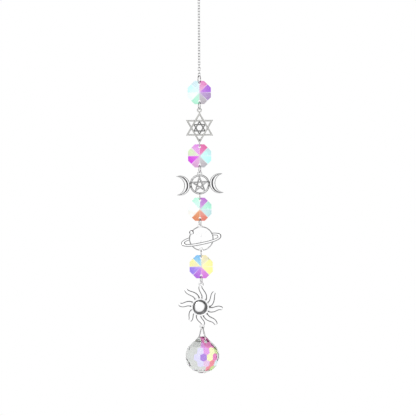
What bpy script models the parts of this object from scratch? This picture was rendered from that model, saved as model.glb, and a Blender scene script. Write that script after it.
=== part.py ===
"""Crystal suncatcher: cut crystals and cast charms linked by jump rings on a fine chain.

Metres, +Z up, the front faces -Y. The origin is the top of the hanging ring's opening,
where a hook carries it. Every piece hangs on the one above, so the heights are worked out
from the top down.
"""
import math

import bmesh
import bpy
from mathutils import Matrix, Vector

MM = 0.001
WELD_DISTANCE = 0.001 * MM
CURVE_POINT_WEIGHT = 1
COLLECTION_NAME = "crystal_suncatcher"

# Clearance between two pieces that hang on each other
GAP = 0.1 * MM

# Hanging ring and chain
HANGING_RING_OUTER = 12.0 * MM
HANGING_RING_WIRE = 0.7 * MM
LINK_LENGTH = 2.6 * MM
LINK_WIDTH = 1.7 * MM
LINK_WIRE = 0.4 * MM
LINK_COUNT = 30
CHAIN_TWIST = math.radians(45)
LINKS_TO_TWIST = 5

# Jump rings, each turned a little from edge-on so that it hangs slightly open
JUMP_RING_OUTER = 5.3 * MM
JUMP_RING_WIRE = 0.6 * MM
JUMP_RING_OPENING = [math.radians(angle) for angle in (19, -14, 0, 14, 0, -14, 0, 12)]

# Octagonal crystals
OCTAGON_ACROSS = 14.0 * MM
OCTAGON_THICKNESS = 6.0 * MM
OCTAGON_GIRDLE = 1.0 * MM
OCTAGON_BEVEL_WIDTH = 1.2 * MM
OCTAGON_BEVEL_THICKNESS = 2.2 * MM
OCTAGON_HOLE = 1.6 * MM
OCTAGON_HOLE_INSET = 1.6 * MM

# Cast eyes at the ends of the charms
EYE_OUTER = 3.0 * MM
EYE_WIRE = 0.75 * MM

# Star charm
STAR_POINTS = 6
STAR_POINT_HALF_ANGLE = math.radians(30)
STAR_RADIUS = 9.5 * MM
STAR_BAR = 0.95 * MM
STAR_THICKNESS = 1.1 * MM
INNER_STAR_BAR = 0.7 * MM
INNER_STAR_THICKNESS = 0.9 * MM
STAR_EYE_SINK = 0.3 * MM
STAR_WEAVE = math.radians(3.2)

# Triple moon charm
MOON_CIRCLE_OUTER = 12.1 * MM
MOON_BAND = 0.9 * MM
MOON_STAR_POINTS = 5
MOON_STAR_POINT_HALF_ANGLE = math.radians(18)
MOON_STAR_RADIUS = 5.95 * MM
MOON_STAR_BAR = 0.7 * MM
MOON_STAR_THICKNESS = 0.9 * MM
MOON_STAR_WEAVE = math.radians(4)
MOON_EYE_SINK = 0.95 * MM
CRESCENT_HEIGHT = 12.1 * MM
CRESCENT_REACH = 8.35 * MM
CRESCENT_WIDTH = 3.4 * MM
CRESCENT_THICKNESS = 1.2 * MM
CRESCENT_RIM = 0.55 * MM
CRESCENT_RECESS = 0.3 * MM
CRESCENT_SEAM = 0.1 * MM
MOON_TILT = math.radians(3)

# Planet charm
PLANET_DIAMETER = 14.8 * MM
PLANET_THICKNESS = 1.2 * MM
PLANET_CHAMFER = 0.3 * MM
PLANET_RING_LENGTH = 24.6 * MM
PLANET_RING_HEIGHT = 6.2 * MM
PLANET_RING_OPENING_LENGTH = 20.2 * MM
PLANET_RING_OPENING_HEIGHT = 3.0 * MM
# An oval of 2 is an ellipse, and more gives it fuller ends
PLANET_RING_FULLNESS = 2.5
PLANET_RING_THICKNESS = 1.7 * MM
PLANET_RING_DROP = 0.7 * MM
PLANET_RING_SEAM = 0.5 * MM
PLANET_RING_TILT = math.radians(11.5)
PLANET_MOON_DIAMETER = 3.0 * MM
PLANET_MOON_HEIGHT = 2.2 * MM
PLANET_MOON_ANGLE = math.radians(148)
PLANET_MOON_INSET = 0.5 * MM
PLANET_TOP_EYE_SINK = 1.8 * MM
PLANET_BOTTOM_EYE_SINK = 2.5 * MM
PLANET_TOP_EYE_SIDE = -0.75 * MM
PLANET_BOTTOM_EYE_SIDE = -0.15 * MM

# Sun charm
SUN_DOME_DIAMETER = 8.3 * MM
SUN_DOME_HEIGHT = 1.7 * MM
SUN_DISC_DIAMETER = 10.8 * MM
SUN_DISC_THICKNESS = 1.0 * MM
SUN_EYE_HEIGHT = 13.8 * MM
SUN_EYE_DEPTH = 11.8 * MM
SUN_TOP_EYE_SIDE = 0.8 * MM
SUN_BOTTOM_EYE_SIDE = 1.2 * MM
FLAME_WIDTH = 3.4 * MM
FLAME_THICKNESS = 1.1 * MM
FLAME_CHAMFER = 0.25 * MM
FLAME_TAPER = 0.4
FLAME_WAVE = math.radians(4)
# The free flames: each tip's angle from the charm's right side, its distance from the centre,
# and how far round the flame swirls on its way there
FREE_FLAME_ANGLES = [math.radians(angle) for angle in (46, 129, 171, 232, 312, 355)]
FREE_FLAME_REACHES = [reach * MM for reach in (12.6, 13.8, 12.9, 10.4, 14.4, 13.6)]
FREE_FLAME_SWIRLS = [math.radians(swirl) for swirl in (31, 20, 8, 21, 6, 7)]
# The other two flames end in the wire of an eye, this far round from its middle
EYE_FLAME_LEAN = math.radians(30)
TOP_EYE_FLAME_SWIRL = math.radians(25)
BOTTOM_EYE_FLAME_SWIRL = math.radians(19)

# Ball and the wire bail through its neck
BALL_DIAMETER = 20.0 * MM
BALL_NECK_HEIGHT = 12.0 * MM
BALL_NECK_SLOPE = math.radians(45)
BALL_CHEEK_SLOPE = math.radians(50)
BALL_CHEEK_DISTANCE = 9.8 * MM
BALL_FACETS_AROUND = 16
BALL_ROW_SLOPES = [math.radians(angle) for angle in (22, 0, -22, -44, -66)]
BALL_HOLE = 2.0 * MM
BALL_HOLE_HEIGHT = 9.1 * MM
BALL_TURN = math.radians(27)
BAIL_WIRE = 0.8 * MM
BAIL_WIDTH = 10.8 * MM
BAIL_TRIANGLE_HEIGHT = 9.2 * MM
BAIL_CORNER_RADIUS = 1.0 * MM

# Facets of round shapes
RING_SEGMENTS = 12
LARGE_RING_SEGMENTS = 20
WIRE_SIDES = 6
LINK_SIDES = 4
HOLE_SIDES = 10
ARC_SEGMENTS = 8

FLAT_TO_UPRIGHT = Matrix.Rotation(math.radians(90), 4, "X")
RING_INNER_RADIUS = JUMP_RING_OUTER / 2 - JUMP_RING_WIRE
EYE_INNER_RADIUS = EYE_OUTER / 2 - EYE_WIRE

SILVER = (0.80, 0.80, 0.81)
CRYSTAL_COLOURS = [(0.80, 0.90, 0.95), (0.95, 0.72, 0.90), (0.82, 0.95, 0.88), (0.90, 0.92, 0.78)]
BALL_COLOUR = (0.90, 0.86, 0.93)


# Scene and materials

def clear_scene():
    for obj in list(bpy.data.objects):
        bpy.data.objects.remove(obj, do_unlink=True)


def make_collection():
    collection = bpy.data.collections.new(COLLECTION_NAME)
    bpy.context.scene.collection.children.link(collection)
    return collection


def metal(name):
    material = bpy.data.materials.new(name + "_silver")
    material.use_nodes = True
    shader = material.node_tree.nodes["Principled BSDF"]
    shader.inputs["Base Color"].default_value = (*SILVER, 1)
    shader.inputs["Metallic"].default_value = 1.0
    shader.inputs["Roughness"].default_value = 0.2
    return material


def crystal(name, colour):
    material = bpy.data.materials.new(name + "_crystal")
    material.use_nodes = True
    shader = material.node_tree.nodes["Principled BSDF"]
    shader.inputs["Base Color"].default_value = (*colour, 1)
    shader.inputs["Roughness"].default_value = 0.02
    shader.inputs["IOR"].default_value = 1.55
    shader.inputs["Transmission Weight"].default_value = 1.0
    return material


# Objects and meshes

def finish(obj, name, collection, material, smooth_angle=None):
    """Name a piece, give it its material and move it into the collection."""
    obj.name = name
    obj.data.name = name
    obj.data.materials.clear()
    obj.data.materials.append(material)
    for old in list(obj.users_collection):
        old.objects.unlink(obj)
    collection.objects.link(obj)
    if smooth_angle is not None:
        obj.data.shade_smooth()
        obj.data.set_sharp_from_angle(angle=smooth_angle)
    return obj


def object_from_bmesh(bm, name):
    mesh = bpy.data.meshes.new(name)
    bm.to_mesh(mesh)
    bm.free()
    obj = bpy.data.objects.new(name, mesh)
    bpy.context.scene.collection.objects.link(obj)
    return obj


def take_evaluated_mesh(obj):
    """The object's mesh as its modifiers or its curve settings give it, with welded seams."""
    depsgraph = bpy.context.evaluated_depsgraph_get()
    mesh = bpy.data.meshes.new_from_object(obj.evaluated_get(depsgraph))
    bm = bmesh.new()
    bm.from_mesh(mesh)
    bmesh.ops.remove_doubles(bm, verts=bm.verts, dist=WELD_DISTANCE)
    bm.to_mesh(mesh)
    bm.free()
    return mesh


def curve_to_mesh(curve_object):
    mesh = take_evaluated_mesh(curve_object)
    obj = bpy.data.objects.new(curve_object.name, mesh)
    bpy.context.scene.collection.objects.link(obj)
    obj.matrix_world = curve_object.matrix_world.copy()
    bpy.data.objects.remove(curve_object, do_unlink=True)
    return obj


def combine(target, pieces, operation):
    """Apply one exact Boolean for each piece, then remove the pieces."""
    bpy.context.view_layer.update()
    for piece in pieces:
        modifier = target.modifiers.new(operation.lower(), "BOOLEAN")
        modifier.operation = operation
        modifier.solver = "EXACT"
        modifier.object = piece
    mesh = take_evaluated_mesh(target)
    target.modifiers.clear()
    target.data = mesh
    for piece in pieces:
        bpy.data.objects.remove(piece, do_unlink=True)
    return target


def bake_transform(obj, matrix):
    """Put the transform into the mesh and leave the object itself at the origin."""
    obj.data.transform(matrix)
    obj.matrix_world = Matrix.Identity(4)
    return obj


def stand_upright(obj, place):
    """A charm made flat, front up, turned to face -Y with its centre at place."""
    obj.matrix_world = Matrix.Translation(place) @ FLAT_TO_UPRIGHT
    return obj


# Shapes

def torus(major_radius, wire_radius, segments, centre=(0, 0, 0)):
    bpy.ops.mesh.primitive_torus_add(
        major_radius=major_radius,
        minor_radius=wire_radius,
        major_segments=segments,
        minor_segments=WIRE_SIDES,
        location=centre,
    )
    return bpy.context.object


def cylinder(radius, depth, sides, centre=(0, 0, 0)):
    bpy.ops.mesh.primitive_cylinder_add(vertices=sides, radius=radius, depth=depth, location=centre)
    return bpy.context.object


def closed_wire(points, radius, sides):
    """A closed round wire through the points."""
    curve = bpy.data.curves.new("wire", "CURVE")
    curve.dimensions = "3D"
    curve.bevel_depth = radius
    curve.bevel_resolution = (sides - 4) // 2
    spline = curve.splines.new("POLY")
    spline.points.add(len(points) - 1)
    for spline_point, place in zip(spline.points, points):
        spline_point.co = (*place, CURVE_POINT_WEIGHT)
    spline.use_cyclic_u = True
    obj = bpy.data.objects.new("wire", curve)
    bpy.context.scene.collection.objects.link(obj)
    return curve_to_mesh(obj)


def plate(outlines, thickness, chamfer):
    """A flat plate from closed outlines in the XY plane, with chamfered edges."""
    curve = bpy.data.curves.new("plate", "CURVE")
    curve.dimensions = "2D"
    curve.fill_mode = "BOTH"
    curve.extrude = thickness / 2 - chamfer
    curve.bevel_depth = chamfer
    curve.bevel_resolution = 0
    curve.offset = -chamfer
    for outline in outlines:
        spline = curve.splines.new("POLY")
        spline.points.add(len(outline) - 1)
        for point, (x, y) in zip(spline.points, outline):
            point.co = (x, y, 0, CURVE_POINT_WEIGHT)
        spline.use_cyclic_u = True
    obj = bpy.data.objects.new("plate", curve)
    bpy.context.scene.collection.objects.link(obj)
    return curve_to_mesh(obj)


def polar(radius, angle):
    return Vector((radius * math.cos(angle), radius * math.sin(angle), 0))


def oval(length, height, segments, fullness=2):
    """Points of an oval around the origin, counter-clockwise. More fullness rounds out its ends."""
    points = []
    for index in range(segments):
        turn = 2 * math.pi * index / segments
        across = math.copysign(abs(math.cos(turn)) ** (2 / fullness), math.cos(turn))
        up = math.copysign(abs(math.sin(turn)) ** (2 / fullness), math.sin(turn))
        points.append((length / 2 * across, height / 2 * up))
    return points


def arc_through(bulge, tip_x, tip_y, segments):
    """Points of the arc from the lower tip to the upper tip that passes through (bulge, 0)."""
    sagitta = bulge - tip_x
    radius = (tip_y ** 2 + sagitta ** 2) / (2 * sagitta)
    centre_x = bulge - radius
    reach = math.atan2(tip_y, tip_x - centre_x)
    return [
        (
            centre_x + radius * math.cos(reach * (2 * index / segments - 1)),
            radius * math.sin(reach * (2 * index / segments - 1)),
        )
        for index in range(segments + 1)
    ]


def crescent_outline(width, reach, height, inset=0.0):
    """A crescent with its convex side at x = 0 to the right and its tips to the left."""
    tip_x = inset - reach
    # The outer arc's tips lie where its own circle, as tall as the crescent, ends at the reach
    circle_radius = height / 2
    tip_y = math.sqrt(circle_radius ** 2 - (reach - circle_radius) ** 2)
    outer = arc_through(-inset, tip_x + inset, tip_y - inset, ARC_SEGMENTS)
    inner = arc_through(-width + inset, tip_x + inset, tip_y - inset, ARC_SEGMENTS)
    return outer + inner[-2:0:-1]


def slice_off(bm, point, normal):
    """Cut away what lies beyond a plane of a convex body and close the cut."""
    geometry = bm.verts[:] + bm.edges[:] + bm.faces[:]
    cut = bmesh.ops.bisect_plane(
        bm, geom=geometry, dist=0.0001 * MM, plane_co=point, plane_no=normal, clear_outer=True
    )
    rim = [item for item in cut["geom_cut"] if isinstance(item, bmesh.types.BMEdge)]
    if rim:
        bmesh.ops.contextual_create(bm, geom=rim)


def block(size):
    bm = bmesh.new()
    bmesh.ops.create_cube(bm, size=size)
    return bm


def woven_bars(tips, tip_half_angle, radius, bar, thickness, weave):
    """The bars of a star as pieces. Each leans, so it passes over one bar and under the next.

    The outer edge of a bar runs from tip to tip, and its inner edge ends inside its neighbours.
    """
    distance = radius * math.sin(tip_half_angle)
    half_length = radius * math.cos(tip_half_angle)
    inner_half_length = (radius - bar / math.sin(tip_half_angle)) * math.cos(tip_half_angle)
    overlap = bar / 2
    outline = [
        (-half_length, distance),
        (-inner_half_length - overlap, distance - bar),
        (inner_half_length + overlap, distance - bar),
        (half_length, distance),
    ]
    bars = []
    for index in range(tips):
        bar_object = plate([outline], thickness, 0)
        angle = math.radians(90) - tip_half_angle + index * 2 * math.pi / tips
        turn = Matrix.Rotation(angle, 4, "Z") @ Matrix.Rotation(weave, 4, "Y")
        bars.append(bake_transform(bar_object, turn))
    return bars


def eye(centre):
    return torus((EYE_OUTER - EYE_WIRE) / 2, EYE_WIRE / 2, RING_SEGMENTS, centre)


# Heights: a seat is the top of the wire or edge that carries the next piece

def hang_ring(seat, inner_radius):
    """The centre height of a ring that hangs on a seat."""
    return seat + GAP - inner_radius


def ring_rise(half_thickness):
    """How far a jump ring's curve lifts off a flat edge of this half thickness."""
    return RING_INNER_RADIUS - math.sqrt(RING_INNER_RADIUS ** 2 - half_thickness ** 2)


def octagon_half_thickness(distance):
    """Half the crystal's thickness on the line from its centre to the middle of an edge."""
    apothem = OCTAGON_ACROSS / 2
    kite = OCTAGON_THICKNESS / 2 - octagon_kite_slope() * distance * math.cos(math.radians(22.5))
    bevel = OCTAGON_GIRDLE / 2 + octagon_bevel_slope() * (apothem - distance)
    return min(kite, bevel)


def octagon_kite_slope():
    bevel_start = OCTAGON_ACROSS / 2 - OCTAGON_BEVEL_WIDTH
    drop = (OCTAGON_THICKNESS - OCTAGON_BEVEL_THICKNESS) / 2
    return drop / (bevel_start * math.cos(math.radians(22.5)))


def octagon_bevel_slope():
    return (OCTAGON_BEVEL_THICKNESS - OCTAGON_GIRDLE) / 2 / OCTAGON_BEVEL_WIDTH


# Pieces

def make_hanging_ring(collection):
    radius = (HANGING_RING_OUTER - HANGING_RING_WIRE) / 2
    centre_z = -(HANGING_RING_OUTER / 2 - HANGING_RING_WIRE)
    obj = torus(radius, HANGING_RING_WIRE / 2, LARGE_RING_SEGMENTS)
    obj.matrix_world = Matrix.Translation((0, 0, centre_z)) @ FLAT_TO_UPRIGHT
    finish(obj, "hanging_ring", collection, metal("hanging_ring"), math.radians(60))
    return 2 * centre_z


def link_turn(index, last_turn):
    """The turn of a chain link about Z. Neighbours are at right angles, and the chain as a
    whole twists, so that both ends meet their rings squarely."""
    spare = (last_turn - math.pi / 2 * LINK_COUNT + math.pi / 2) % math.pi - math.pi / 2
    from_top = min(index / LINKS_TO_TWIST, 1)
    from_bottom = min((LINK_COUNT - 1 - index) / LINKS_TO_TWIST, 1)
    twist = (spare + (CHAIN_TWIST - spare) * from_bottom) * from_top
    return math.pi / 2 * (index + 1) + twist


def link_points():
    """The wire's centre line: straight sides, and ends of two bends and a flat top."""
    half_width = (LINK_WIDTH - LINK_WIRE) / 2
    half_length = (LINK_LENGTH - LINK_WIRE) / 2
    shoulder = half_length - half_width
    crown = half_width * math.tan(math.radians(30))
    top = [(half_width, shoulder), (crown, half_length), (-crown, half_length), (-half_width, shoulder)]
    bottom = [(-x, -z) for x, z in top]
    return [(x, 0, z) for x, z in top + bottom]


def make_chain(collection, seat, last_turn):
    inner_half_length = LINK_LENGTH / 2 - LINK_WIRE
    points = link_points()
    for index in range(LINK_COUNT):
        name = f"chain_link_{index + 1:02d}"
        centre_z = hang_ring(seat, inner_half_length)
        obj = closed_wire(points, LINK_WIRE / 2, LINK_SIDES)
        turn = Matrix.Rotation(link_turn(index, last_turn), 4, "Z")
        obj.matrix_world = Matrix.Translation((0, 0, centre_z)) @ turn
        finish(obj, name, collection, metal(name), math.radians(60))
        seat = centre_z - inner_half_length
    return seat


def make_jump_ring(collection, number, x, seat):
    """A ring on a seat, nearly edge-on. Returns the seat that its lower wire gives."""
    name = f"jump_ring_{number}"
    centre_z = hang_ring(seat, RING_INNER_RADIUS)
    turn = Matrix.Rotation(math.pi / 2 - JUMP_RING_OPENING[number - 1], 4, "Z")
    obj = torus((JUMP_RING_OUTER - JUMP_RING_WIRE) / 2, JUMP_RING_WIRE / 2, RING_SEGMENTS)
    obj.matrix_world = Matrix.Translation((x, 0, centre_z)) @ turn @ FLAT_TO_UPRIGHT
    finish(obj, name, collection, metal(name), math.radians(60))
    return centre_z - RING_INNER_RADIUS


def octagon_body():
    """The cut body: girdle, and on each side eight kites to the corners and eight edge bevels."""
    apothem = OCTAGON_ACROSS / 2
    bm = block(2 * OCTAGON_ACROSS)
    for index in range(8):
        edge = polar(1, index * math.pi / 4)
        corner = polar(1, (index + 0.5) * math.pi / 4)
        slice_off(bm, edge * apothem, edge)
        for side in (1, -1):
            up = Vector((0, 0, side))
            slice_off(bm, up * OCTAGON_THICKNESS / 2, corner * octagon_kite_slope() + up)
            rim = edge * apothem + up * OCTAGON_GIRDLE / 2
            slice_off(bm, rim, edge * octagon_bevel_slope() + up)
    return object_from_bmesh(bm, "octagon")


def make_octagon_crystal(collection, number, x, seat):
    """A drilled octagon on a jump ring. Returns the seat of its lower hole."""
    name = f"octagon_crystal_{number}"
    hole_distance = OCTAGON_ACROSS / 2 - OCTAGON_HOLE_INSET
    hole_edge = hole_distance + OCTAGON_HOLE / 2
    rise = ring_rise(octagon_half_thickness(hole_edge))
    centre_z = seat + GAP + rise - hole_edge
    obj = octagon_body()
    drills = [
        cylinder(OCTAGON_HOLE / 2, 2 * OCTAGON_THICKNESS, HOLE_SIDES, (0, side * hole_distance, 0))
        for side in (1, -1)
    ]
    combine(obj, drills, "DIFFERENCE")
    stand_upright(obj, (x, 0, centre_z))
    finish(obj, name, collection, crystal(name, CRYSTAL_COLOURS[number - 1]))
    return centre_z - hole_edge + rise


def make_star_charm(collection, x, seat):
    """Two woven triangles with a smaller woven star inside. Returns the seat in its lowest point."""
    eye_distance = STAR_RADIUS + EYE_OUTER / 2 - STAR_EYE_SINK
    inner_radius = STAR_RADIUS / 2 - STAR_BAR / 4
    points = (STAR_POINTS, STAR_POINT_HALF_ANGLE)
    bars = woven_bars(*points, STAR_RADIUS, STAR_BAR, STAR_THICKNESS, STAR_WEAVE)
    bars += woven_bars(*points, inner_radius, INNER_STAR_BAR, INNER_STAR_THICKNESS, STAR_WEAVE)
    bars.append(eye((0, eye_distance, 0)))
    obj = combine(bars[0], bars[1:], "UNION")
    centre_z = hang_ring(seat, EYE_INNER_RADIUS) - eye_distance
    stand_upright(obj, (x, 0, centre_z))
    finish(obj, "star_charm", collection, metal("star_charm"))
    # The ring's wire rests in the notch between two bars, which it touches at both sides
    slant = math.sin(STAR_POINT_HALF_ANGLE)
    notch_z = centre_z - STAR_RADIUS + STAR_BAR / slant
    wire_radius = JUMP_RING_WIRE / 2 + GAP
    return notch_z + wire_radius / slant - wire_radius + ring_rise(STAR_THICKNESS / 2)


def make_crescent(side):
    """One crescent, convex side towards the circle, with a recessed face inside raised rims."""
    circle_edge = MOON_CIRCLE_OUTER / 2 - CRESCENT_SEAM
    outline = crescent_outline(CRESCENT_WIDTH, CRESCENT_REACH, CRESCENT_HEIGHT)
    obj = plate([outline], CRESCENT_THICKNESS, CRESCENT_RECESS / 2)
    recess_outline = crescent_outline(
        CRESCENT_WIDTH - CRESCENT_RIM, CRESCENT_REACH, CRESCENT_HEIGHT, CRESCENT_RIM
    )
    recess = plate([recess_outline], CRESCENT_THICKNESS, 0)
    recess.data.transform(Matrix.Translation((0, 0, CRESCENT_THICKNESS - CRESCENT_RECESS)))
    combine(obj, [recess], "DIFFERENCE")
    turn = Matrix.Rotation(0 if side < 0 else math.pi, 4, "Z")
    return bake_transform(obj, Matrix.Translation((side * circle_edge, 0, 0)) @ turn)


def make_triple_moon_charm(collection, x, seat):
    """A ring with a woven five-pointed star and two crescents. Returns the seat on its band."""
    band_radius = (MOON_CIRCLE_OUTER - MOON_BAND) / 2
    eye_distance = MOON_CIRCLE_OUTER / 2 + EYE_OUTER / 2 - MOON_EYE_SINK
    circle = torus(band_radius, MOON_BAND / 2, LARGE_RING_SEGMENTS)
    parts = woven_bars(
        MOON_STAR_POINTS,
        MOON_STAR_POINT_HALF_ANGLE,
        MOON_STAR_RADIUS,
        MOON_STAR_BAR,
        MOON_STAR_THICKNESS,
        MOON_STAR_WEAVE,
    )
    parts += [make_crescent(-1), make_crescent(1)]
    combine(circle, parts, "UNION")
    bake_transform(circle, Matrix.Rotation(MOON_TILT, 4, "Z"))
    obj = combine(circle, [eye((0, eye_distance, 0))], "UNION")
    centre_z = hang_ring(seat, EYE_INNER_RADIUS) - eye_distance
    stand_upright(obj, (x, 0, centre_z))
    finish(obj, "triple_moon_charm", collection, metal("triple_moon_charm"))
    return centre_z - MOON_CIRCLE_OUTER / 2 + MOON_BAND


def planet_ring_band():
    """The flat ring without the stretch that passes behind the planet."""
    opening_size = (PLANET_RING_OPENING_LENGTH, PLANET_RING_OPENING_HEIGHT)
    outline = oval(PLANET_RING_LENGTH, PLANET_RING_HEIGHT, 3 * ARC_SEGMENTS, PLANET_RING_FULLNESS)
    opening = oval(*opening_size, 3 * ARC_SEGMENTS, PLANET_RING_FULLNESS)
    band = plate([outline, opening], PLANET_RING_THICKNESS, 0)
    hidden_radius = PLANET_DIAMETER / 2 - PLANET_RING_SEAM
    hidden = cylinder(hidden_radius, 2 * PLANET_RING_THICKNESS, 3 * ARC_SEGMENTS)
    front = bmesh.new()
    front.from_mesh(hidden.data)
    slice_off(front, Vector((0, 0, 0)), Vector((0, -1, 0)))
    front.to_mesh(hidden.data)
    front.free()
    combine(band, [hidden], "DIFFERENCE")
    drop = Matrix.Translation((0, -PLANET_RING_DROP, 0))
    return bake_transform(band, drop @ Matrix.Rotation(PLANET_RING_TILT, 4, "Z"))


def make_planet_charm(collection, eye_x, seat):
    """A chamfered disc with a ring and a small moon. Returns its lower eye's x and seat."""
    radius = PLANET_DIAMETER / 2
    eye_reach = radius + EYE_OUTER / 2
    top_eye = (PLANET_TOP_EYE_SIDE, eye_reach - PLANET_TOP_EYE_SINK, 0)
    bottom_eye = (PLANET_BOTTOM_EYE_SIDE, PLANET_BOTTOM_EYE_SINK - eye_reach, 0)
    x = eye_x - top_eye[0]
    centre_z = hang_ring(seat, EYE_INNER_RADIUS) - top_eye[1]
    disc = plate([oval(2 * radius, 2 * radius, 3 * ARC_SEGMENTS)], PLANET_THICKNESS, PLANET_CHAMFER)
    bpy.ops.mesh.primitive_uv_sphere_add(segments=10, ring_count=5, radius=PLANET_MOON_DIAMETER / 2)
    moon = bpy.context.object
    flatten = Matrix.Scale(PLANET_MOON_HEIGHT / PLANET_MOON_DIAMETER, 4, (0, 0, 1))
    place = Matrix.Translation(polar(radius - PLANET_MOON_INSET, PLANET_MOON_ANGLE))
    bake_transform(moon, place @ flatten)
    # The eyes' holes go through the disc as well
    holes = [
        cylinder((EYE_OUTER - EYE_WIRE) / 2, 2 * PLANET_THICKNESS, HOLE_SIDES, centre)
        for centre in (top_eye, bottom_eye)
    ]
    combine(disc, holes, "DIFFERENCE")
    obj = combine(disc, [planet_ring_band(), moon, eye(top_eye), eye(bottom_eye)], "UNION")
    stand_upright(obj, (x, 0, centre_z))
    finish(obj, "planet_charm", collection, metal("planet_charm"))
    return x + bottom_eye[0], centre_z + bottom_eye[1] - EYE_INNER_RADIUS


def flame(tip, swirl):
    """A wavy flame with a blunt end: its centre line swirls to the tip's angle and swings once."""
    tip_angle = math.atan2(tip.y, tip.x)
    steps = 6
    root_radius = SUN_DOME_DIAMETER / 2
    middle = []
    for index in range(steps + 1):
        along = index / steps
        swing = FLAME_WAVE * math.sin(2 * math.pi * along)
        angle = tip_angle - swirl * (1 - along) - swing
        middle.append(polar(root_radius + (tip.length - root_radius) * along, angle))
    left = []
    right = []
    for index in range(steps + 1):
        run = (middle[min(index + 1, steps)] - middle[max(index - 1, 0)]).normalized()
        half_width = FLAME_WIDTH / 2 * (1 - FLAME_TAPER * (index / steps) ** 2)
        across = Vector((-run.y, run.x, 0)) * half_width
        left.append((middle[index] + across).xy)
        right.append((middle[index] - across).xy)
    return plate([right + left[::-1]], FLAME_THICKNESS, FLAME_CHAMFER)


def make_sun_charm(collection, eye_x, seat):
    """A dome on a disc with flames around it. Returns its lower eye's x and seat."""
    top_eye = Vector((SUN_TOP_EYE_SIDE, SUN_EYE_HEIGHT, 0))
    bottom_eye = Vector((SUN_BOTTOM_EYE_SIDE, -SUN_EYE_DEPTH, 0))
    into_wire = polar((EYE_OUTER - EYE_WIRE) / 2, math.pi / 2 - EYE_FLAME_LEAN)
    x = eye_x - top_eye.x
    centre_z = hang_ring(seat, EYE_INNER_RADIUS) - top_eye.y
    disc = cylinder(SUN_DISC_DIAMETER / 2, SUN_DISC_THICKNESS, LARGE_RING_SEGMENTS)
    bpy.ops.mesh.primitive_uv_sphere_add(segments=20, ring_count=8, radius=SUN_DOME_DIAMETER / 2)
    dome = bpy.context.object
    bake_transform(dome, Matrix.Scale(2 * SUN_DOME_HEIGHT / SUN_DOME_DIAMETER, 4, (0, 0, 1)))
    tips = [polar(reach, angle) for angle, reach in zip(FREE_FLAME_ANGLES, FREE_FLAME_REACHES)]
    flames = [flame(tip, swirl) for tip, swirl in zip(tips, FREE_FLAME_SWIRLS)]
    flames.append(flame(top_eye - into_wire, TOP_EYE_FLAME_SWIRL))
    flames.append(flame(bottom_eye + into_wire, BOTTOM_EYE_FLAME_SWIRL))
    obj = combine(disc, flames + [dome, eye(top_eye), eye(bottom_eye)], "UNION")
    stand_upright(obj, (x, 0, centre_z))
    finish(obj, "sun_charm", collection, metal("sun_charm"), math.radians(40))
    return x + bottom_eye.x, centre_z + bottom_eye.y - EYE_INNER_RADIUS


def rounded_triangle(half_width, height, radius, segments):
    """The centre line of a closed triangle with round corners, its base on the x axis."""
    corners = [Vector((-half_width, 0)), Vector((half_width, 0)), Vector((0, height))]
    points = []
    for index, corner in enumerate(corners):
        before = (corners[index - 1] - corner).normalized()
        after = (corners[(index + 1) % 3] - corner).normalized()
        half_angle = before.angle(after) / 2
        centre = corner + (before + after).normalized() * radius / math.sin(half_angle)
        start = corner + before * radius / math.tan(half_angle) - centre
        sweep = math.pi - 2 * half_angle
        for step in range(segments + 1):
            spoke = start.copy()
            spoke.rotate(Matrix.Rotation(sweep * step / segments, 2))
            points.append((centre.x + spoke.x, 0, centre.y + spoke.y))
    return points


def make_ball_bail(collection, x, seat):
    """The bent wire triangle. Returns the height of its lower bar's centre line."""
    half_width = (BAIL_WIDTH - BAIL_WIRE) / 2
    points = rounded_triangle(half_width, BAIL_TRIANGLE_HEIGHT, BAIL_CORNER_RADIUS, 4)
    top = max(point[2] for point in points)
    bar_z = hang_ring(seat, top - BAIL_WIRE / 2)
    obj = closed_wire(points, BAIL_WIRE / 2, WIRE_SIDES)
    turn = Matrix.Rotation(math.pi / 2 + BALL_TURN, 4, "Z")
    obj.matrix_world = Matrix.Translation((x, 0, bar_z)) @ turn
    finish(obj, "ball_bail", collection, metal("ball_bail"), math.radians(60))
    return bar_z


def make_crystal_ball(collection, x, bar_z):
    """A ball of tangent facets in staggered rows, with a pointed neck drilled along X."""
    radius = BALL_DIAMETER / 2
    bm = block(4 * BALL_NECK_HEIGHT)
    slice_off(bm, Vector((0, 0, BALL_NECK_HEIGHT)), Vector((0, 0, 1)))
    slice_off(bm, Vector((0, 0, -radius)), Vector((0, 0, -1)))
    step = 2 * math.pi / BALL_FACETS_AROUND
    for row, slope in enumerate([BALL_NECK_SLOPE] + BALL_ROW_SLOPES):
        for index in range(BALL_FACETS_AROUND):
            spoke = polar(math.cos(slope), (index + row % 2 / 2) * step)
            normal = spoke + Vector((0, 0, math.sin(slope)))
            slice_off(bm, normal * radius, normal)
    for side in (1, -1):
        normal = Vector((side * math.cos(BALL_CHEEK_SLOPE), 0, math.sin(BALL_CHEEK_SLOPE)))
        slice_off(bm, normal * BALL_CHEEK_DISTANCE, normal)
    obj = object_from_bmesh(bm, "ball")
    drill = cylinder(BALL_HOLE / 2, 2 * BALL_DIAMETER, HOLE_SIDES)
    lying = Matrix.Rotation(math.pi / 2, 4, "Y")
    bake_transform(drill, Matrix.Translation((0, 0, BALL_HOLE_HEIGHT)) @ lying)
    combine(obj, [drill], "DIFFERENCE")
    hole_z = bar_z + BAIL_WIRE / 2 + GAP - BALL_HOLE / 2
    turn = Matrix.Rotation(math.pi / 2 + BALL_TURN, 4, "Z")
    obj.matrix_world = Matrix.Translation((x, 0, hole_z - BALL_HOLE_HEIGHT)) @ turn
    return finish(obj, "crystal_ball", collection, crystal("crystal_ball", BALL_COLOUR))


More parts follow.
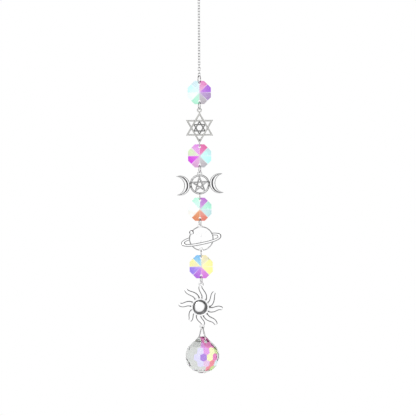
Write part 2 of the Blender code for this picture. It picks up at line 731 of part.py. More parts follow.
def main():
    clear_scene()
    collection = make_collection()
    x = 0.0
    seat = make_hanging_ring(collection)
    first_ring_turn = math.pi / 2 - JUMP_RING_OPENING[0]
    seat = make_chain(collection, seat, first_ring_turn - math.pi / 2)
    seat = make_jump_ring(collection, 1, x, seat)
    seat = make_octagon_crystal(collection, 1, x, seat)
    seat = make_jump_ring(collection, 2, x, seat)
    seat = make_star_charm(collection, x, seat)
    seat = make_jump_ring(collection, 3, x, seat)
    seat = make_octagon_crystal(collection, 2, x, seat)
    seat = make_jump_ring(collection, 4, x, seat)
    seat = make_triple_moon_charm(collection, x, seat)
    seat = make_jump_ring(collection, 5, x, seat)
    seat = make_octagon_crystal(collection, 3, x, seat)
    seat = make_jump_ring(collection, 6, x, seat)
    x, seat = make_planet_charm(collection, x, seat)
    seat = make_jump_ring(collection, 7, x, seat)
    seat = make_octagon_crystal(collection, 4, x, seat)
    seat = make_jump_ring(collection, 8, x, seat)
    x, seat = make_sun_charm(collection, x, seat)
    bar_z = make_ball_bail(collection, x, seat)
    make_crystal_ball(collection, x, bar_z)


main()
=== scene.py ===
"""Looks of the crystal suncatcher: plated wire, cast silver charms and coated cut crystals.

Metres, +Z up, the front faces -Y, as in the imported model. A flat piece is worked out in its own
plane, as (across, up, front), and then stood in its place.
"""
import math

import bpy
import numpy as np
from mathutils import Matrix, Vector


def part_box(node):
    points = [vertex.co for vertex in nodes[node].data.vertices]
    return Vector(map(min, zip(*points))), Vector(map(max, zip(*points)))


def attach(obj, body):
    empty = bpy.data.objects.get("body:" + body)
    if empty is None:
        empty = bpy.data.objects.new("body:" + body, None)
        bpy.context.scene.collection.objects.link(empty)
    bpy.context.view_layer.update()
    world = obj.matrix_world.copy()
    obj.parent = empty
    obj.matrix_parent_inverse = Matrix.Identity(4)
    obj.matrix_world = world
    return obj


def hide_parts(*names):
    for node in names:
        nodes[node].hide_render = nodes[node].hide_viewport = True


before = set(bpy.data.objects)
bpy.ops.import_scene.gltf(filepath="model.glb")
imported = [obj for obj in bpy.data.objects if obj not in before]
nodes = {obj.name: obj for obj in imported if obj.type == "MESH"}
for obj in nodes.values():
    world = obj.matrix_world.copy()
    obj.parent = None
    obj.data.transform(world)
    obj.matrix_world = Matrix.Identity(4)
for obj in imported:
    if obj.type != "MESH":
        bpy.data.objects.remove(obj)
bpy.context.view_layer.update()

MM = 0.001
OCTAGON_SIDES = 8


# Surfaces from grids of points

def grid_faces(rows, columns, rows_closed):
    """Squares between neighbouring rows and columns. The columns always close on themselves."""
    i = np.arange(rows if rows_closed else rows - 1)[:, None]
    j = np.arange(columns)[None, :]
    next_i = (i + 1) % rows
    next_j = (j + 1) % columns
    corners = np.broadcast_arrays(
        i * columns + j, i * columns + next_j, next_i * columns + next_j, next_i * columns + j
    )
    return np.stack(corners, axis=-1).reshape(-1, 4)


def shell(grid, closed, painted_shade_and_patina=None):
    """A closed body from a grid: rows run along it, columns run around it, open ends get a cap."""
    rows, columns = grid.shape[:2]
    faces = grid_faces(rows, columns, closed).tolist()
    if not closed:
        faces.append(list(range(columns))[::-1])
        faces.append(list(range((rows - 1) * columns, rows * columns)))
    if painted_shade_and_patina is None:
        painted_shade_and_patina = np.zeros((rows, columns))
    painted_shade_and_patina = np.broadcast_to(painted_shade_and_patina, (rows, columns))
    return grid.reshape(-1, 3), faces, painted_shade_and_patina.reshape(-1)


def circle(radius, steps):
    """Points at equal turns around the origin, anticlockwise."""
    turn = 2 * math.pi * np.arange(steps) / steps
    return radius * np.stack([np.cos(turn), np.sin(turn)], axis=-1)


def left_of(path, closed):
    """The sideways direction at each point of a flat path: halfway between the left sides of the
    stretches before and after it, lengthened so that both edges stay parallel to the path."""
    ahead = (np.roll(path, -1, axis=0) - path)[:, :2]
    behind = np.roll(ahead, 1, axis=0)
    if not closed:
        ahead[-1] = behind[-1]
        behind[0] = ahead[0]
    sides = [np.stack([-way[:, 1], way[:, 0]], axis=-1) for way in (ahead, behind)]
    sides = [side / np.linalg.norm(side, axis=-1, keepdims=True) for side in sides]
    middle = sides[0] + sides[1]
    middle /= np.linalg.norm(middle, axis=-1, keepdims=True)
    return middle / np.sum(middle * sides[0], axis=-1, keepdims=True)


def carried(path, profile, closed, size=1.0, painted_shade_and_patina=None):
    """A profile (left, front) carried along a flat path (across, up, front).
    Point = path + left side * profile left * size + front * profile front * size."""
    size = np.broadcast_to(size, len(path))[:, None]
    side = left_of(path, closed)
    grid = np.repeat(path[:, None, :], len(profile), axis=1)
    grid[:, :, :2] += side[:, None, :] * (profile[:, 0] * size)[:, :, None]
    grid[:, :, 2] += profile[:, 1] * size
    return shell(grid, closed, painted_shade_and_patina)


def between(right, left, profile, closed, height=1.0, lift=0.0, painted_shade_and_patina=None):
    """A body between two edge lines. Point = right + (left - right) * profile across,
    and its front = lift + height * profile front."""
    across = profile[:, 0][None, :, None]
    flat = right[:, None, :] + (left - right)[:, None, :] * across
    height = np.broadcast_to(height, len(right))[:, None]
    lift = np.broadcast_to(lift, len(right))[:, None]
    front = lift + height * profile[:, 1][None, :]
    return shell(np.concatenate([flat, front[:, :, None]], axis=-1), closed, painted_shade_and_patina)


def turned(radii, heights, painted_shade_and_patina=None):
    """A round body: each profile point runs once around the front axis.
    Point = (radius * cos turn, radius * sin turn, height). Radii may differ from turn to turn."""
    steps = radii.shape[0]
    turn = 2 * math.pi * np.arange(steps)[:, None] / steps
    grid = np.stack(
        [radii * np.cos(turn), radii * np.sin(turn), np.broadcast_to(heights, radii.shape)], axis=-1
    )
    rows, columns = radii.shape
    faces = grid_faces(rows, columns, True)
    faces = faces[(faces[:, 0] % columns) != columns - 1].tolist()
    faces.append([row * columns for row in range(rows)][::-1])
    faces.append([row * columns + columns - 1 for row in range(rows)])
    painted_shade_and_patina = np.zeros(radii.shape) if painted_shade_and_patina is None else np.broadcast_to(painted_shade_and_patina, radii.shape)
    return grid.reshape(-1, 3), faces, painted_shade_and_patina.reshape(-1)


def stood(shells, x, z, yaw=0.0):
    """Stand flat shells upright: across goes to X, up to Z, front to -Y, turned by yaw about Z."""
    placed = []
    for points, faces, painted_shade_and_patina in shells:
        across, up, front = points.T
        placed_points = np.stack(
            [
                x + math.cos(yaw) * across + math.sin(yaw) * front,
                math.sin(yaw) * across - math.cos(yaw) * front,
                z + up,
            ],
            axis=-1,
        )
        placed.append((placed_points, faces, painted_shade_and_patina))
    return placed


def shifted(part, across, up, front=0.0):
    """The same shell, moved in its own plane."""
    points, faces, painted_shade_and_patina = part
    return points + np.array([across, up, front]), faces, painted_shade_and_patina


def swung(part, angle):
    """The same shell, turned in its own plane."""
    points, faces, painted_shade_and_patina = part
    c, s = math.cos(angle), math.sin(angle)
    return points @ np.array([[c, s, 0], [-s, c, 0], [0, 0, 1]]), faces, painted_shade_and_patina


def piece(name, shells, material, replaced, sharp=50):
    """Join shells to one mesh, with their painted shade and patina as an attribute, and put it in the
    frame.
    """
    points = np.concatenate([part[0] for part in shells])
    painted_shade_and_patina = np.concatenate([part[2] for part in shells])
    starts = np.cumsum([0] + [len(part[0]) for part in shells])
    faces = [[index + start for index in face] for part, start in zip(shells, starts) for face in part[1]]
    mesh = bpy.data.meshes.new(name)
    mesh.from_pydata(points.tolist(), [], faces)
    # The painted shade, painted reflection and patina go in as a point attribute
    mesh.attributes.new("painted_shade_and_patina", "FLOAT", "POINT").data.foreach_set("value", painted_shade_and_patina.astype(np.float32))
    mesh.shade_smooth()
    mesh.set_sharp_from_angle(angle=math.radians(sharp))
    mesh.materials.append(material)
    obj = bpy.data.objects.new(name, mesh)
    bpy.context.scene.collection.objects.link(obj)
    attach(obj, "root")
    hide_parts(*replaced)
    return obj


# Finishes

def new_material(name):
    """A material with its node tree and its shader."""
    material = bpy.data.materials.new(name)
    material.use_nodes = True
    tree = material.node_tree
    return material, tree, tree.nodes["Principled BSDF"]


def add(tree, kind, inputs=None, **settings):
    """A node with its settings and its inputs: values are set, sockets are linked."""
    made = tree.nodes.new(kind)
    for key, value in settings.items():
        setattr(made, key, value)
    for key, value in (inputs or {}).items():
        if isinstance(value, bpy.types.NodeSocket):
            tree.links.new(value, made.inputs[key])
        else:
            made.inputs[key].default_value = value
    return made


def silver(name, bright, dark, grain, polish, metal=1.0):
    """Silver that is bright on what stands out and dark where its painted shade is: painted shade in the
    hollows and where parts meet, painted reflection of the dark studio sides along the edges, with some
    patina in the cast hollows. Satin plating is less of a metal. Darkness = painted shade and patina +
    cloudy noise; darker places are rougher; fine grain gives the bump."""
    material, tree, shader = new_material(name)
    place = add(tree, "ShaderNodeTexCoord").outputs["Object"]
    # Painted shade, painted reflection and some patina, from the piece's own attribute
    painted_shade_and_patina = add(tree, "ShaderNodeAttribute", attribute_name="painted_shade_and_patina").outputs["Fac"]
    cloud = add(tree, "ShaderNodeTexNoise", {"Vector": place, "Scale": 700.0, "Detail": 3.0})
    cloudy = add(
        tree, "ShaderNodeMapRange", {"Value": cloud.outputs["Fac"], "To Min": -0.12, "To Max": 0.16}
    )
    summed = add(
        tree, "ShaderNodeMath", {0: painted_shade_and_patina, 1: cloudy.outputs["Result"]}, operation="ADD", use_clamp=True
    )
    tree.links.new(mixed(tree, summed.outputs[0], bright, dark), shader.inputs["Base Color"])
    rough = add(
        tree, "ShaderNodeMapRange", {"Value": summed.outputs[0], "To Min": polish, "To Max": polish + 0.3}
    )
    tree.links.new(rough.outputs["Result"], shader.inputs["Roughness"])
    speck = add(tree, "ShaderNodeTexNoise", {"Vector": place, "Scale": grain, "Detail": 2.0})
    bump = add(
        tree, "ShaderNodeBump", {"Height": speck.outputs["Fac"], "Strength": 0.25, "Distance": 0.00004}
    )
    tree.links.new(bump.outputs["Normal"], shader.inputs["Normal"])
    shader.inputs["Metallic"].default_value = metal
    return material


TINTS = {
    "clear": "F8FEFC", "ash": "C8C4C8", "mist": "CACBC9", "ice": "D2E6EC", "aqua": "CCFCF8",
    "mint": "C0F8E0", "lime": "E0F4CC", "grass": "C6DC8C", "lemon": "FAF9B4", "cream": "F8EEC4",
    "amber": "E6A474", "coral": "E8907F", "rose": "E884B6", "pink": "EC9CD2", "magenta": "DE54E8",
    "orchid": "DE8CE2", "plum": "CC8CDC", "violet": "BE80E4", "heather": "C0AACE", "periwinkle": "AE96F0",
    "lavender": "D6D0FA", "lilac": "E2B4DE", "sky": "74C2EC", "silver": "CACAC8", "flame": "EC7484",
    "moss": "AECC6C", "iris": "9C6CD6", "fuchsia": "E26CB0",
}


def tint(name):
    """A tint as linear colour: each sRGB share s becomes about ((s + 0.055) / 1.055) ** 2.4."""
    code = TINTS[name]
    shares = np.array([int(code[start:start + 2], 16) / 255 for start in (0, 2, 4)])
    linear = np.where(shares < 0.04, shares / 12.92, ((shares + 0.055) / 1.055) ** 2.4)
    return (*linear.tolist(), 1.0)


def ramp(tree, value, starts, colours):
    """Named tints side by side, each from its own start to the next one's."""
    made = add(tree, "ShaderNodeValToRGB", {"Fac": value})
    made.color_ramp.interpolation = "CONSTANT"
    elements = made.color_ramp.elements
    for index, (start, colour) in enumerate(zip(starts, colours)):
        element = elements[index] if index < 2 else elements.new(start)
        element.position = start
        element.color = tint(colour)
    return made.outputs["Color"]


def mixed(tree, share, first, second):
    """Two colours mixed: first * (1 - share) + second * share."""
    made = add(tree, "ShaderNodeMix", data_type="RGBA")
    ends = {socket.identifier: socket for socket in made.inputs}
    for key, value in (("Factor_Float", share), ("A_Color", first), ("B_Color", second)):
        if isinstance(value, bpy.types.NodeSocket):
            tree.links.new(value, ends[key])
        else:
            ends[key].default_value = value
    return next(socket for socket in made.outputs if socket.identifier == "Result_Color")


def sum_of(tree, operation, *values, clamp=False):
    """One sum: the named operation on its values, which are numbers or sockets."""
    inputs = dict(enumerate(values))
    return add(tree, "ShaderNodeMath", inputs, operation=operation, use_clamp=clamp).outputs[0]


def clear_glass(shader, clearness, bend):
    """See-through and polished, with its own refraction."""
    shader.inputs["Transmission Weight"].default_value = clearness
    shader.inputs["Roughness"].default_value = 0.015
    shader.inputs["IOR"].default_value = bend


def crystal(name, centre, colours):
    """Clear cut crystal whose coating shows one tint on each eighth turn around its centre.
    Turn = angle of (x, z) about the centre, as a share of a whole turn. Clouds of the next
    tint drift into each facet, the tints deepen towards the edge, the middle is paler, and fine
    pale lines of painted highlight stand for the glints along the ridges between facets."""
    material, tree, shader = new_material(name)
    place = add(tree, "ShaderNodeTexCoord").outputs["Object"]
    moved = add(tree, "ShaderNodeMapping", {"Vector": place, "Location": [-share for share in centre]})
    axes = add(tree, "ShaderNodeSeparateXYZ", {"Vector": moved.outputs["Vector"]}).outputs
    angle = sum_of(tree, "ARCTAN2", axes["Z"], axes["X"])
    turn = sum_of(tree, "FRACT", sum_of(tree, "DIVIDE", angle, 2 * math.pi))
    starts = [index / OCTAGON_SIDES for index in range(OCTAGON_SIDES)]
    coat = ramp(tree, turn, starts, colours)
    # Painted highlight: pale lines along the ridges between facets, in place of the glints on the cut
    # edges
    off_ridge = sum_of(tree, "PINGPONG", sum_of(tree, "MULTIPLY", turn, OCTAGON_SIDES), 0.5)
    ridge = add(
        tree,
        "ShaderNodeMapRange",
        {"Value": off_ridge, "From Min": 0.015, "From Max": 0.05, "To Min": 0.55, "To Max": 0.0},
    )
    reach = add(tree, "ShaderNodeCombineXYZ", {"X": axes["X"], "Y": axes["Z"]})
    radius = add(tree, "ShaderNodeVectorMath", {0: reach.outputs[0]}, operation="LENGTH").outputs["Value"]
    rim = add(
        tree,
        "ShaderNodeMapRange",
        {"Value": radius, "From Min": 2.0 * MM, "From Max": 6.8 * MM, "To Min": 0.15, "To Max": 0.65},
    )
    middle = add(
        tree,
        "ShaderNodeMapRange",
        {"Value": radius, "From Min": 0.0, "From Max": 2.0 * MM, "To Min": 0.15, "To Max": 0.0},
    )
    paler = sum_of(tree, "MAXIMUM", ridge.outputs["Result"], middle.outputs["Result"])
    cloud = add(tree, "ShaderNodeTexNoise", {"Vector": place, "Scale": 260.0, "Detail": 1.0})
    shift = add(
        tree,
        "ShaderNodeMapRange",
        {"Value": cloud.outputs["Fac"], "From Min": 0.4, "From Max": 0.7, "To Min": 0.0, "To Max": 0.25},
    )
    neighbour = ramp(tree, turn, starts, colours[1:] + colours[:1])
    coat = mixed(tree, shift.outputs["Result"], coat, neighbour)
    deeper = add(tree, "ShaderNodeGamma", {"Color": coat, "Gamma": 1.7}).outputs["Color"]
    coat = mixed(tree, rim.outputs["Result"], coat, deeper)
    tree.links.new(mixed(tree, paler, coat, tint("clear")), shader.inputs["Base Color"])
    clear_glass(shader, 1.0, 1.52)
    return material


def dress(node, material):
    """Give a CAD node that keeps its shape its finish."""
    nodes[node].data.materials.clear()
    nodes[node].data.materials.append(material)


BRIGHT = (0.93, 0.93, 0.935, 1.0)
WIRE_GREY = (0.78, 0.78, 0.78, 1.0)
WARM_GREY = (0.60, 0.60, 0.58, 1.0)
# The dark end of every silver: painted shade and painted reflection of the dark studio sides, with some
# tarnish in the cast hollows
SHADE_AND_TARNISH = (0.07, 0.07, 0.072, 1.0)
PLATED_GRAIN = 5000.0
CAST_GRAIN = 3500.0
PLATED = silver("plated_wire", WIRE_GREY, SHADE_AND_TARNISH, PLATED_GRAIN, 0.2)
CHAIN = silver("plated_chain", BRIGHT, SHADE_AND_TARNISH, PLATED_GRAIN, 0.45, 0.25)
CAST = silver("cast_silver", BRIGHT, SHADE_AND_TARNISH, CAST_GRAIN, 0.14)
CAST_GREY = silver("cast_grey_silver", WARM_GREY, SHADE_AND_TARNISH, CAST_GRAIN, 0.42, 0.6)

# Around each bead from its right side, anticlockwise
BEAD_TINTS = {
    1: ["violet", "pink", "ice", "aqua", "clear", "mint", "ash", "heather"],
    2: ["aqua", "rose", "orchid", "lime", "magenta", "lilac", "ash", "aqua"],
    3: ["mint", "plum", "mint", "clear", "clear", "amber", "coral", "ice"],
    4: ["lemon", "cream", "sky", "lemon", "periwinkle", "violet", "orchid", "lemon"],
}


# Wire pieces

WIRE_SIDES = 12
HANGING_RING_OUTER = 12.0 * MM
HANGING_RING_WIRE = 0.7 * MM
JUMP_RING_OUTER = 5.3 * MM
JUMP_RING_WIRE = 0.6 * MM
# Half of a jump ring's slit, seen from its centre, in radians
HALF_SLIT = 0.012
# How far each jump ring is turned open from edge-on, in degrees
JUMP_RING_OPENINGS = [19, -14, 0, 14, 0, -14, 0, 12]


def wire_ring(outer, wire, segments):
    """A round wire: a circle of points carried around a circle."""
    path = np.pad(circle((outer - wire) / 2, segments), ((0, 0), (0, 1)))
    return carried(path, circle(wire / 2, WIRE_SIDES), True)


def slit_ring(outer, wire, slit_angle, segments=48):
    """A jump ring: the wire runs round from one side of a fine slit to the other."""
    turn = slit_angle + np.linspace(HALF_SLIT, 2 * math.pi - HALF_SLIT, segments)
    radius = (outer - wire) / 2
    path = np.stack([radius * np.cos(turn), radius * np.sin(turn), 0 * turn], axis=-1)
    return carried(path, circle(wire / 2, WIRE_SIDES), False)


def centre_of(node):
    """The middle of a node's box."""
    low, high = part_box(node)
    return (low + high) / 2


ring_centre = centre_of("hanging_ring")
piece(
    "wire_hanging_ring",
    stood([wire_ring(HANGING_RING_OUTER, HANGING_RING_WIRE, 72)], ring_centre.x, ring_centre.z),
    PLATED, ["hanging_ring"],
)

for number, opening in enumerate(JUMP_RING_OPENINGS, 1):
    place = centre_of(f"jump_ring_{number}")
    ring = slit_ring(JUMP_RING_OUTER, JUMP_RING_WIRE, math.radians(20 + 40 * (number % 3)))
    piece(
        f"wire_jump_ring_{number}",
        stood([ring], place.x, place.z, math.radians(90 - opening)),
        PLATED, [f"jump_ring_{number}"],
    )

LINK_COUNT = 30
LINK_WIRE = 0.4 * MM
LINK_END_RADIUS = 0.65 * MM
LINK_SHOULDER = 0.45 * MM
CHAIN_TWIST = math.radians(45)
LINKS_TO_TWIST = 5


def link_turn(index):
    """A link's turn about Z: quarter turns from link to link, and a slow twist of the chain."""
    last_turn = math.radians(-JUMP_RING_OPENINGS[0])
    spare = (last_turn - math.pi / 2 * LINK_COUNT + math.pi / 2) % math.pi - math.pi / 2
    from_top = min(index / LINKS_TO_TWIST, 1)
    from_bottom = min((LINK_COUNT - 1 - index) / LINKS_TO_TWIST, 1)
    twist = (spare + (CHAIN_TWIST - spare) * from_bottom) * from_top
    return math.pi / 2 * (index + 1) + twist


def chain_link():
    """One link: a circle of points carried around an oval of two straight sides and two half
    circles, with painted shade near both ends, where its neighbours cross it."""
    turn = np.linspace(0, math.pi, 9)
    across = LINK_END_RADIUS * np.cos(turn)
    up = LINK_SHOULDER + LINK_END_RADIUS * np.sin(turn)
    top = np.stack([across, up, 0 * turn], axis=-1)
    path = np.concatenate([top, top * [-1, -1, 1]])
    # Painted shade where the neighbouring links cross this one
    crossing_shade = np.exp(-((np.abs(path[:, 1]) / MM - 0.75) / 0.22) ** 2)
    return carried(path, circle(LINK_WIRE / 2, 8), True, 1.0, crossing_shade[:, None])


for index in range(LINK_COUNT):
    node = f"chain_link_{index + 1:02d}"
    place = centre_of(node)
    piece(
        f"link_{index + 1:02d}",
        stood([chain_link()], place.x, place.z, link_turn(index)),
        CHAIN, [node],
    )


BAIL_WIRE = 0.8 * MM
BAIL_HALF_WIDTH = 5.0 * MM
BAIL_HEIGHT = 9.2 * MM
BAIL_CORNER_RADIUS = 1.0 * MM
BAIL_TURN = math.radians(117)


def bail_path():
    """A triangle with round corners: each corner is an arc that meets both sides."""
    radius = BAIL_CORNER_RADIUS
    corners = np.array([[-BAIL_HALF_WIDTH, 0], [BAIL_HALF_WIDTH, 0], [0, BAIL_HEIGHT]])
    before = np.roll(corners, 1, axis=0) - corners
    after = np.roll(corners, -1, axis=0) - corners
    before /= np.linalg.norm(before, axis=-1, keepdims=True)
    after /= np.linalg.norm(after, axis=-1, keepdims=True)
    half = np.arccos(np.sum(before * after, axis=-1, keepdims=True)) / 2
    middle = (before + after) / np.linalg.norm(before + after, axis=-1, keepdims=True)
    centres = corners + middle * radius / np.sin(half)
    start = corners + before * radius / np.tan(half) - centres
    share = np.linspace(0, 1, 10)[None, :]
    sweep = (math.pi - 2 * half) * share
    x = start[:, :1] * np.cos(sweep) - start[:, 1:] * np.sin(sweep)
    y = start[:, :1] * np.sin(sweep) + start[:, 1:] * np.cos(sweep)
    points = centres[:, None, :] + np.stack([x, y], axis=-1)
    return np.pad(points.reshape(-1, 2), ((0, 0), (0, 1)))


bail_low, bail_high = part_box("ball_bail")
ball_centre_x = (bail_low.x + bail_high.x) / 2
bail_z = bail_low.z + BAIL_WIRE / 2
bail_wire = carried(bail_path(), circle(BAIL_WIRE / 2, WIRE_SIDES), True)
piece(
    "wire_ball_bail",
    stood([bail_wire], ball_centre_x, bail_z, BAIL_TURN),
    PLATED, ["ball_bail"],
)


# Star charm

EYE_OUTER = 3.0 * MM
EYE_WIRE = 0.75 * MM
EYE_LINE_RADIUS = (EYE_OUTER - EYE_WIRE) / 2


def eye(across, up):
    """The small closed ring at a charm's end, around (across, up)."""
    return shifted(wire_ring(EYE_OUTER, EYE_WIRE, 40), across, up)


def woven_line(first_tip, tip_step, tips, tip_radius, margin, weave, steps):
    """A closed line through the tips of a star. Each side runs straight from tip to tip, rises
    over its first neighbour and dips under its second: front = weave * sin of a whole turn."""
    turn = math.radians(first_tip) + math.radians(tip_step) * np.arange(tips)
    start = tip_radius * np.stack([np.cos(turn), np.sin(turn)], axis=-1)
    end = np.roll(start, -1, axis=0)
    along = np.concatenate([[0], np.linspace(margin, 1 - margin, steps)])[None, :, None]
    flat = start[:, None, :] * (1 - along) + end[:, None, :] * along
    front = np.broadcast_to(weave * np.sin(2 * math.pi * along), (tips, steps + 1, 1))
    return np.concatenate([flat, front], axis=-1).reshape(-1, 3)


def rounded_bar(width, thickness, shoulder):
    """Half-round front on a flat back: (left, front) points, anticlockwise."""
    turn = np.linspace(0, math.pi, 9)
    top = np.stack(
        [width / 2 * np.cos(turn), shoulder + (thickness / 2 - shoulder) * np.sin(turn)], axis=-1
    )[::-1]
    back = np.array([[width / 2 * 0.9, -thickness / 2], [-width / 2 * 0.9, -thickness / 2]])
    return np.concatenate([back[::-1], top[::-1]])


def bar_painted_shade(profile, thickness, side, top):
    """How dark a bar is across its profile: plain back, sides darkened as a painted reflection of the dark
    studio sides, and the top's own share.
    """
    height = profile[:, 1] / thickness
    return np.select([height < -0.45, height < 0.12], [0.2, side], top)[None, :]


def star_bars(radius, bar, thickness, weave, steps, darkness):
    """Two woven triangles of rounded bar whose outer edges end at the radius."""
    line_radius = radius - bar
    margin = bar / math.sqrt(3) * 1.15 / (2 * line_radius * math.cos(math.radians(30)))
    profile = rounded_bar(bar, thickness, -0.1 * thickness)
    painted_shade_and_patina = bar_painted_shade(profile, thickness, 0.75, darkness)
    return [
        carried(
            woven_line(first, 120, 3, line_radius, 1.6 * margin, weave, steps), profile, True, 1.0, painted_shade_and_patina
        )
        for first in (90, 270)
    ]


STAR_RADIUS = 9.5 * MM
STAR_BAR = 0.95 * MM
STAR_THICKNESS = 0.8 * MM
STAR_WEAVE = 0.16 * MM
STAR_EYE_REACH = STAR_RADIUS + 1.2 * MM
INNER_STAR_RADIUS = 4.51 * MM
INNER_STAR_BAR = 0.7 * MM
INNER_STAR_THICKNESS = 0.65 * MM
INNER_STAR_WEAVE = 0.12 * MM
star_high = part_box("star_charm")[1]
star_x = 0.0
star_z = star_high.z - EYE_OUTER / 2 - STAR_EYE_REACH
star_shells = star_bars(STAR_RADIUS, STAR_BAR, STAR_THICKNESS, STAR_WEAVE, 40, 0.05)
star_shells += star_bars(
    INNER_STAR_RADIUS, INNER_STAR_BAR, INNER_STAR_THICKNESS, INNER_STAR_WEAVE, 24, 0.7
)
star_shells.append(eye(0, STAR_EYE_REACH))
piece("cast_star", stood(star_shells, star_x, star_z), CAST_GREY, ["star_charm"])


# Triple moon charm

MOON_CIRCLE_OUTER = 12.1 * MM
MOON_BAND_THICKNESS = 0.9 * MM
MOON_BAND_WIDTH = 1.15 * MM
MOON_STAR_RADIUS = 5.95 * MM
MOON_STAR_BAR = 0.85 * MM
MOON_STAR_THICKNESS = 0.62 * MM
MOON_STAR_WEAVE = 0.14 * MM
MOON_EYE_SINK = 0.95 * MM
CRESCENT_WIDTH = 3.4 * MM
CRESCENT_REACH = 8.35 * MM
CRESCENT_HEIGHT = 12.1 * MM
CRESCENT_SEAM = 0.1 * MM
MOON_TILT = math.radians(3)


def arc(bulge, tip_x, tip_y, steps):
    """The arc from the lower tip to the upper tip through (bulge, 0)."""
    sagitta = bulge - tip_x
    radius = (tip_y ** 2 + sagitta ** 2) / (2 * sagitta)
    reach = math.atan2(tip_y, tip_x - bulge + radius)
    turn = reach * np.linspace(-1, 1, steps)
    return np.stack([bulge - radius + radius * np.cos(turn), radius * np.sin(turn)], axis=-1)


# Across a crescent from its convex to its concave edge: share of the width, height, and painted shade with
# some patina, darkest in the groove and on the sides
CRESCENT_PROFILE = np.array([
    [0.04, -0.60, 0.3], [0.96, -0.60, 0.3], [1.00, -0.20, 0.9], [1.00, 0.24, 1.0], [0.97, 0.42, 1.0],
    [0.93, 0.48, 0.8], [0.88, 0.50, 0.2], [0.84, 0.50, 0.0], [0.62, 0.50, 0.0], [0.57, 0.46, 0.2],
    [0.54, 0.34, 0.9], [0.50, 0.20, 1.0], [0.40, 0.20, 1.0], [0.36, 0.36, 0.9], [0.33, 0.54, 0.2],
    [0.30, 0.58, 0.0], [0.14, 0.58, 0.0], [0.09, 0.56, 0.6], [0.04, 0.50, 1.0], [0.00, 0.28, 1.0],
    [0.00, -0.20, 0.9],
])


def crescent(steps=72):
    """A crescent between two arcs that meet at its tips, with two raised rims and a groove.
    Its height and its bright share fall with its width towards the tips, so painted shade spreads over the
    narrow ends."""
    radius = CRESCENT_HEIGHT / 2
    tip_y = math.sqrt(radius ** 2 - (CRESCENT_REACH - radius) ** 2)
    outer = arc(0, -CRESCENT_REACH, tip_y, steps)
    inner = arc(-CRESCENT_WIDTH, -CRESCENT_REACH, tip_y, steps)
    trim = slice(1, -1)
    room = np.linalg.norm(outer - inner, axis=-1)[trim] / CRESCENT_WIDTH
    height_share = np.clip(0.35 + 0.9 * room, 0, 1)
    profile = CRESCENT_PROFILE[:, :2] * [1, MM]
    room = np.clip(room, 0, 1)[:, None]
    painted_shade_and_patina = CRESCENT_PROFILE[None, :, 2] * room + 0.6 * (1 - room)
    return between(outer[trim], inner[trim], profile, False, height_share, 0.0, painted_shade_and_patina)


def moon_band(steps=96):
    """The circle's band: an oval profile carried round a circle, with painted shade along both edges and
    beside its left and right ends, where the crescents join it."""
    profile = circle(1.0, 16) * [MOON_BAND_WIDTH / 2, MOON_BAND_THICKNESS / 2]
    path = np.pad(circle((MOON_CIRCLE_OUTER - MOON_BAND_WIDTH) / 2, steps), ((0, 0), (0, 1)))
    turn = 2 * math.pi * np.arange(steps) / steps
    # Painted shade beside the crescents' joints and along the band's edges
    joint_shade = 0.36 + 0.6 * np.exp(-((np.abs(np.sin(turn)) - 0.22) / 0.09) ** 2)
    edges = 0.5 * (np.abs(profile[:, 0]) > 0.4 * MM)
    return carried(path, profile, True, 1.0, np.clip(joint_shade[:, None] + edges[None, :], 0, 1))


def moon_star():
    """The five-pointed star: one rounded bar carried along a woven line, with its sides darkened as a
    painted reflection.
    """
    line_radius = MOON_STAR_RADIUS - MOON_STAR_BAR / 2 / math.sin(math.radians(18))
    line = woven_line(90, 144, 5, line_radius, 0.16, MOON_STAR_WEAVE, 24)
    profile = rounded_bar(MOON_STAR_BAR, MOON_STAR_THICKNESS, -0.1 * MM)
    return carried(line, profile, True, 1.0, bar_painted_shade(profile, MOON_STAR_THICKNESS, 1.0, 0.5))


moon_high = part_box("triple_moon_charm")[1]
moon_x = 0.0
moon_eye = MOON_CIRCLE_OUTER / 2 + EYE_OUTER / 2 - MOON_EYE_SINK
moon_z = moon_high.z - EYE_OUTER / 2 - moon_eye
circle_edge = MOON_CIRCLE_OUTER / 2 - CRESCENT_SEAM
moon_shells = [
    moon_band(),
    moon_star(),
    shifted(crescent(), -circle_edge, 0),
    shifted(swung(crescent(), math.pi), circle_edge, 0),
]
moon_shells = [swung(part, MOON_TILT) for part in moon_shells] + [eye(0, moon_eye)]
piece(
    "cast_triple_moon",
    stood(moon_shells, moon_x, moon_z),
    CAST, ["triple_moon_charm"],
)


# Planet charm

PLANET_RADIUS = 7.4 * MM
# Each eye's place (across, up) from the planet's middle
PLANET_EYES = [(-0.75 * MM, 7.1 * MM), (-0.15 * MM, -6.4 * MM)]
PLANET_RING_OUTER = [12.3 * MM, 3.1 * MM]
PLANET_RING_INNER = [10.1 * MM, 1.5 * MM]
PLANET_RING_LIFT = 0.42 * MM
PLANET_RING_DROP = 0.7 * MM
PLANET_RING_TILT = math.radians(11.5)
SMALL_MOON_RADIUS = 1.5 * MM
SMALL_MOON_DEPTH = 1.1 * MM
SMALL_MOON_REACH = 6.9 * MM
SMALL_MOON_TURN = math.radians(148)
planet_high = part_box("planet_charm")[1]
planet_x = -PLANET_EYES[0][0]
planet_z = planet_high.z - EYE_OUTER / 2 - PLANET_EYES[0][1]


def rim_radius(turn):
    """The disc's edge: its radius, or where the eye's round hole cuts in, the near side of it."""
    radius = np.full(turn.shape, PLANET_RADIUS)
    for across, up in PLANET_EYES:
        way = across * np.cos(turn) + up * np.sin(turn)
        inside = EYE_LINE_RADIUS ** 2 - (across ** 2 + up ** 2) + way ** 2
        near = way - np.sqrt(np.maximum(inside, 0))
        radius = np.where((inside > 0) & (way > 0), np.minimum(radius, near), radius)
    return radius


